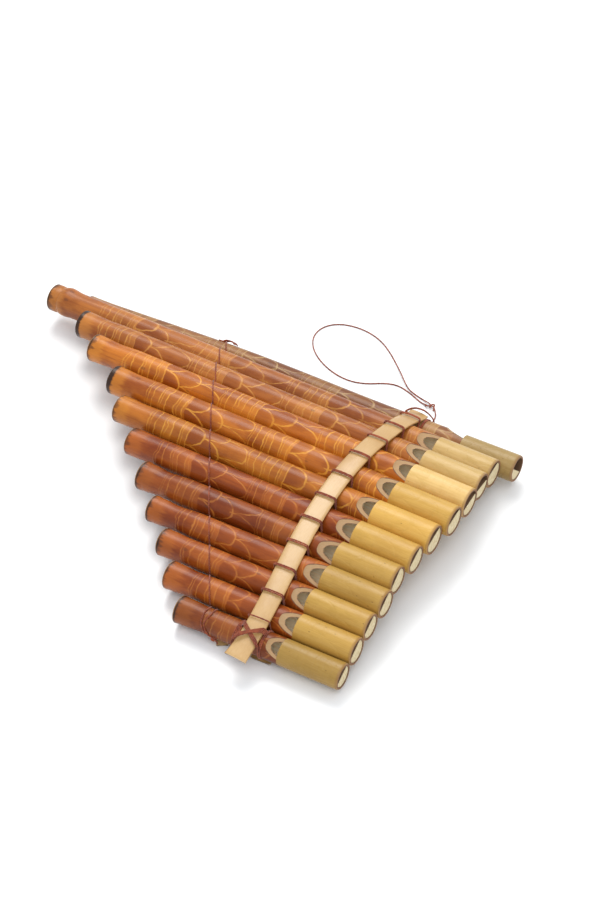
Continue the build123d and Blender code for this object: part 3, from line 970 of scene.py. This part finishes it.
def drape(plan, clearance):
    """Cord laid from above along a plan line, resting on the bar and the pipes."""
    flat = smooth([(x, y, 0) for x, y in plan], 0.8)
    heights = []
    for p in flat:
        hit = TOPS.ray_cast(Vector((p.x, p.y, 200)), Vector((0, 0, -1)))[0]
        heights.append(hit.z + clearance if hit is not None else None)
    for k in list(range(len(heights) - 2, -1, -1)) + list(range(1, len(heights))):
        if heights[k] is None:
            beside = heights[k + 1] if heights[min(k + 1, len(heights) - 1)] is not None else heights[k - 1]
            heights[k] = None if beside is None else beside - 0.5
    for _ in range(6):
        soft = heights[:]
        for k in range(1, len(heights) - 1):
            soft[k] = max(heights[k], (heights[k - 1] + heights[k + 1]) / 2)
        heights = soft
    return smooth([Vector((p.x, p.y, z)) for p, z in zip(flat, heights)])


# Shortest pipe: turns on both sides of the bar, and a cross over it.
near_cord = Strands()
first_pipe = PIPES[0]
bar_x = BAR_X(at_x(first_pipe, BAR_X(first_pipe.mouth.y)).y)
for number, offset in enumerate((1.0, 2.1, 3.2, 4.3)):
    for side in (-1, 1):
        if side == 1 and number > 1:
            continue
        x = bar_x + side * (BAR_HALF + offset)
        path = round_pipe(first_pipe, x, -80, 170, lean=side * (0.8 - number))
        near_cord.add(path, number + side, taper=False)
cross_y = at_x(first_pipe, bar_x).y - 5.5


def crossing(count, pitch, shift, plan, clearance, phase):
    """Strands side by side over the bar; a plan's row is X from the bar, Y and its share of the shift."""
    for number in range(count):
        moved = number * pitch + shift
        route = [(bar_x + x, cross_y + y + moved * share) for x, y, share in plan]
        near_cord.add(drape(route, clearance), number + phase)


crossing(3, 1.1, -1.1, (
    (-BAR_HALF - 1.9, 6.2, 1), (-BAR_HALF + 0.6, 4.6, 1), (0, 0.4, 1), (BAR_HALF - 0.6, -3.6, 1),
    (BAR_HALF + 1.6, -5.2, 1),
), 0.42, 0)
crossing(4, 1.05, -1.6, (
    (-BAR_HALF - 1.6, -6.6, 1), (-BAR_HALF + 0.8, -4.6, 1), (0, 0.9, 0.6), (BAR_HALF - 0.6, 5.0, 1),
    (BAR_HALF + 1.6, 6.3, 1),
), 1.15, 0.5)
settle(near_cord.build("near_end_lashing_cord"), "binding_cord", "near_end_lashing")

# Longest pipe: turns on both sides of the bar, and two cords arched over its end.
far_cord = Strands()
last_pipe = PIPES[-1]
bar_x = BAR_X(at_x(last_pipe, BAR_X(last_pipe.mouth.y)).y)
far_y = at_x(last_pipe, bar_x).y
for number, offset in enumerate((1.0, 2.1)):
    for side in (-1, 1):
        x = bar_x + side * (BAR_HALF + offset)
        far_cord.add(round_pipe(last_pipe, x, 80, -170, lean=side * (0.6 - number)), number, taper=False)
for number in range(2):
    arc = []
    for place in (
        (-7.9, 0.6, 27.6), (-5.4, 3.6, 29.2), (-1.4, 6.6, 29.4), (3.8, 9.6, 26.8), (8.6, 11.6, 21.5),
        (10.0, 13.0, 16.0), (7.2, 14.2, 10.5), (2.0, 14.0, 7.5),
    ):
        point = Vector((bar_x + place[0], far_y + place[1] + 0.5 * number, place[2] - 1.0 * number))
        hit = TOPS.ray_cast(Vector((point.x, point.y, 200)), Vector((0, 0, -1)))[0]
        if hit is not None and hit.z > 15:
            point.z = max(point.z, hit.z + CORD_R * 0.9)
        arc.append(point)
    far_cord.add(smooth(arc), number)
settle(far_cord.build("far_end_lashing_cord"), "binding_cord", "far_end_lashing")

# The cord that crosses every pipe along the slanted strip, round the strip in each gap.
strip_cord = Strands()


def slanted_turn(pipe, shift=0.0):
    """A turn of cord round a pipe on the slant of the strip."""
    x = STRIP_X(pipe.mouth.y)
    for _ in range(3):
        x = STRIP_X(at_x(pipe, x).y)
    x -= STRIP_CORD_LEAD - 0.4 * pipe.index
    radius = pipe.nominal(pipe.distance_at(x))
    points = []
    for degrees in steps(0, 360, 6.0):
        angle = math.radians(degrees)
        distance = pipe.distance_at(x + shift + 0.635 * radius * math.sin(angle))
        points.append(pipe.on_skin(distance, angle, CORD_R * 0.75))
    return smooth(points)


for pipe in PIPES[1:-1]:
    strip_cord.add(slanted_turn(pipe), pipe.index, taper=False)
strip_cord.add(slanted_turn(last_pipe, 2.0), 2.0, taper=False)
for number in range(3):
    start = last_pipe.distance_at(STRIP_X(last_pipe.mouth.y - 6) - STRIP_CORD_LEAD + 9.5 - 0.9 * number)
    arch = []
    for t in (0.0, 0.12, 0.35, 0.6, 0.85, 1.0, 1.3):
        lift = 1.9 * math.sin(math.pi * min(t, 1.0)) ** 0.6 if t < 1 else 0.0
        angle = math.radians(-52 + 7 * number - 16 * t * (1 - t))
        distance = start + 10.5 * t
        arch.append(last_pipe.on_skin(distance, angle, CORD_R * 0.8 + lift))
    strip_cord.add(smooth(arch), number)
# On the shortest pipe two slack turns run together at a knot on the strip's end.
STRIP_KNOT_X = 89.3
strip_knot = []
for number, (top, side, low) in enumerate(((0.0, 1.5, 10.5), (4.6, 3.6, 11.0))):
    pipe = PIPES[0]
    points = []
    for degrees, x in ((-95, top - 1.5), (-60, top - 1.0), (-20, top), (15, top - 0.3), (50, side - 1.2),
                       (80, side + 0.6), (105, low - 4.5), (122, low - 1.0), (140, low), (170, low - 1.0)):
        angle = math.radians(degrees)
        distance = pipe.distance_at(STRIP_KNOT_X + x)
        points.append(pipe.on_skin(distance, angle, CORD_R * 0.8))
    strip_knot.append(points[-3])
    strip_cord.add(smooth(points), number)
knot_middle = (strip_knot[0] + strip_knot[1]) / 2
for number in range(3):
    ring = []
    for k in range(16):
        t = math.tau * k / 16 + number
        x, y, z = 1.5 * math.cos(t) + 0.4 * number, 0.8 * math.sin(t + number) - 0.4, 1.1 * math.sin(t)
        ring.append(knot_middle + Vector((x, y, z + 0.3 * number)))
    strip_cord.add(smooth(ring, closed=True), number, taper=False)
knot_end = [knot_middle + Vector(p) for p in ((0, 0, 0), (2.4, -1.2, 0.4), (4.6, -1.6, -1.2))]
strip_cord.add(smooth(knot_end), 0.2)
settle(strip_cord.build("strip_lashing_cord"), "binding_cord", "strip_lashing")


# ---- Hanging cord: a short tether, a knot and a loop that lies on the table

KNOT_AT = (-84.0, 160.0)
TABLE = 0.6
TETHER = [
    (-76.0, 131.5, 6.0), (-74.5, 134.5, 2.4), (-74.0, 140.0, TABLE), (-74.5, 147.5, TABLE),
    (-76.5, 154.5, TABLE + 0.1), (-81.3, 159.2, 1.6),
]
LOOP = [
    (-86.6, 161.6, 1.6), (-93.0, 163.5, TABLE), (-100.5, 165.5, TABLE), (-108.0, 168.0, TABLE + 0.2),
    (-115.0, 173.5, TABLE + 1.5), (-122.5, 181.0, TABLE + 1.5), (-131.0, 189.5, TABLE),
    (-142.0, 199.0, TABLE), (-154.5, 207.5, TABLE), (-168.0, 212.0, TABLE), (-182.0, 212.5, TABLE),
    (-195.0, 208.5, TABLE), (-203.0, 199.5, TABLE), (-204.5, 187.5, TABLE), (-199.5, 176.0, TABLE),
    (-190.5, 166.5, TABLE), (-178.5, 159.0, TABLE), (-165.0, 154.0, TABLE), (-151.0, 152.8, TABLE),
    (-138.5, 157.0, TABLE), (-128.5, 164.5, TABLE), (-118.0, 168.3, TABLE), (-106.5, 165.6, TABLE),
    (-97.5, 161.8, TABLE), (-91.5, 159.3, TABLE), (-86.4, 158.6, 1.6),
]
knot_low, knot_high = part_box("loop_knot")
SHIFT = Vector([(knot_low[k] + knot_high[k]) / 2 / MM - KNOT_AT[k] for k in (0, 1)] + [0.0])


def route_line(name, route):
    """The points of a NURBS line led by a route, in millimetres."""
    curve = bpy.data.curves.new(name, "CURVE")
    curve.dimensions = "3D"
    line = curve.splines.new("NURBS")
    line.points.add(len(route) - 1)
    for point, place in zip(line.points, route):
        point.co = (*((Vector(place) + SHIFT) * MM), 1.0)
    line.order_u = 3
    line.use_endpoint_u = True
    line.resolution_u = 24
    holder = bpy.data.objects.new(name, curve)
    mesh = bpy.data.meshes.new_from_object(holder)
    points = [v.co / MM for v in mesh.vertices]
    bpy.data.objects.remove(holder)
    bpy.data.meshes.remove(mesh)
    return points


def length_of(points):
    return sum((b - a).length for a, b in zip(points, points[1:]))


def even(points, step=0.4):
    """The same line with evenly spaced points."""
    runs = [0.0]
    for a, b in zip(points, points[1:]):
        runs.append(runs[-1] + (b - a).length)
    wanted = np.linspace(0, runs[-1], max(2, round(runs[-1] / step)))
    axes = [np.interp(wanted, runs, [p[k] for p in points]) for k in range(3)]
    return [Vector(p) for p in zip(*axes)]


def hanging_piece(name, route):
    line = even(route_line(name + "_line", route))
    strand = Strands(pitch=3.8)
    strand.add(line)
    return strand.build(name + "_cord"), line


knot = Strands(radius=0.52)
centre = Vector((KNOT_AT[0], KNOT_AT[1], 0)) + SHIFT
turns = []
for k in range(48):
    t = math.tau * k / 48
    turns.append(centre + Vector((
        1.25 * (math.sin(t) + 1.1 * math.sin(2 * t)),
        1.0 * (math.cos(t) - 1.1 * math.cos(2 * t)),
        1.75 - 0.75 * math.sin(3 * t),
    )))
knot.add(smooth(turns, 0.3, closed=True), taper=False)
for tail in (((1.2, 0.6, 1.6), (2.6, -0.6, 1.4), (3.4, -2.4, 0.8), (3.6, -3.8, 0.6)),
             ((-0.6, -0.8, 1.5), (-1.9, -2.0, 1.8), (-3.4, -2.2, 1.4), (-4.6, -1.6, 0.7))):
    knot.add(smooth([centre + Vector(p) for p in tail], 0.3), 0.7)
knot_piece = settle(knot.build("loop_knot_cord"), "binding_cord", "loop_knot")

tether, tether_line = hanging_piece("cord_tether", TETHER)
loop, loop_line = hanging_piece("hanging_loop", LOOP)
settle(tether, "binding_cord", "cord_tether")
settle(loop, "binding_cord", "hanging_loop")
length_of(tether_line) * MM
length_of(loop_line) * MM


# ---- Table, lights and camera


def area_light(name, place, target, size, power, colour=(1, 1, 1)):
    lamp = bpy.data.lights.new(name, "AREA")
    lamp.size = size
    lamp.energy = power
    lamp.color = colour
    holder = add_object(name, lamp)
    holder.location = place
    holder.rotation_euler = (Vector(target) - Vector(place)).to_track_quat("-Z", "Y").to_euler()


TABLE_HALF = 9000
table_corners = [(x * TABLE_HALF, y * TABLE_HALF, 0) for x, y in ((-1, -1), (1, -1), (1, 1), (-1, 1))]
table = shaded_object("table", raw_mesh("table", table_corners, [(0, 1, 2, 3)], [table_material()]))

world = bpy.data.worlds.new("studio")
world.use_nodes = True
background = world.node_tree.nodes["Background"].inputs
background["Color"].default_value = (0.92, 0.96, 1.0, 1.0)
background["Strength"].default_value = 0.86
bpy.context.scene.world = world
area_light("key", (-0.62, 0.92, 1.7), (0, 0, 0), 1.1, 23, (1.0, 0.985, 0.96))
area_light("front", (0.9, -1.1, 2.3), (0, 0, 0), 2.2, 24)
bpy.context.scene.view_settings.view_transform = "Standard"

azimuth, elevation, distance = math.radians(31.77), math.radians(43.41), 1.322
target = (SHIFT + Vector((-119.4, 28.5, 20.4))) * MM
back = Vector((
    math.sin(azimuth) * math.cos(elevation), -math.cos(azimuth) * math.cos(elevation), math.sin(elevation),
))
camera_data = bpy.data.cameras.new("camera")
camera_data.lens = 74.08
camera_data.shift_y = 0.0244
camera = add_object("camera", camera_data)
camera.location = target + back * distance
camera.rotation_euler = (-back).to_track_quat("-Z", "Y").to_euler()
bpy.context.scene.camera = camera
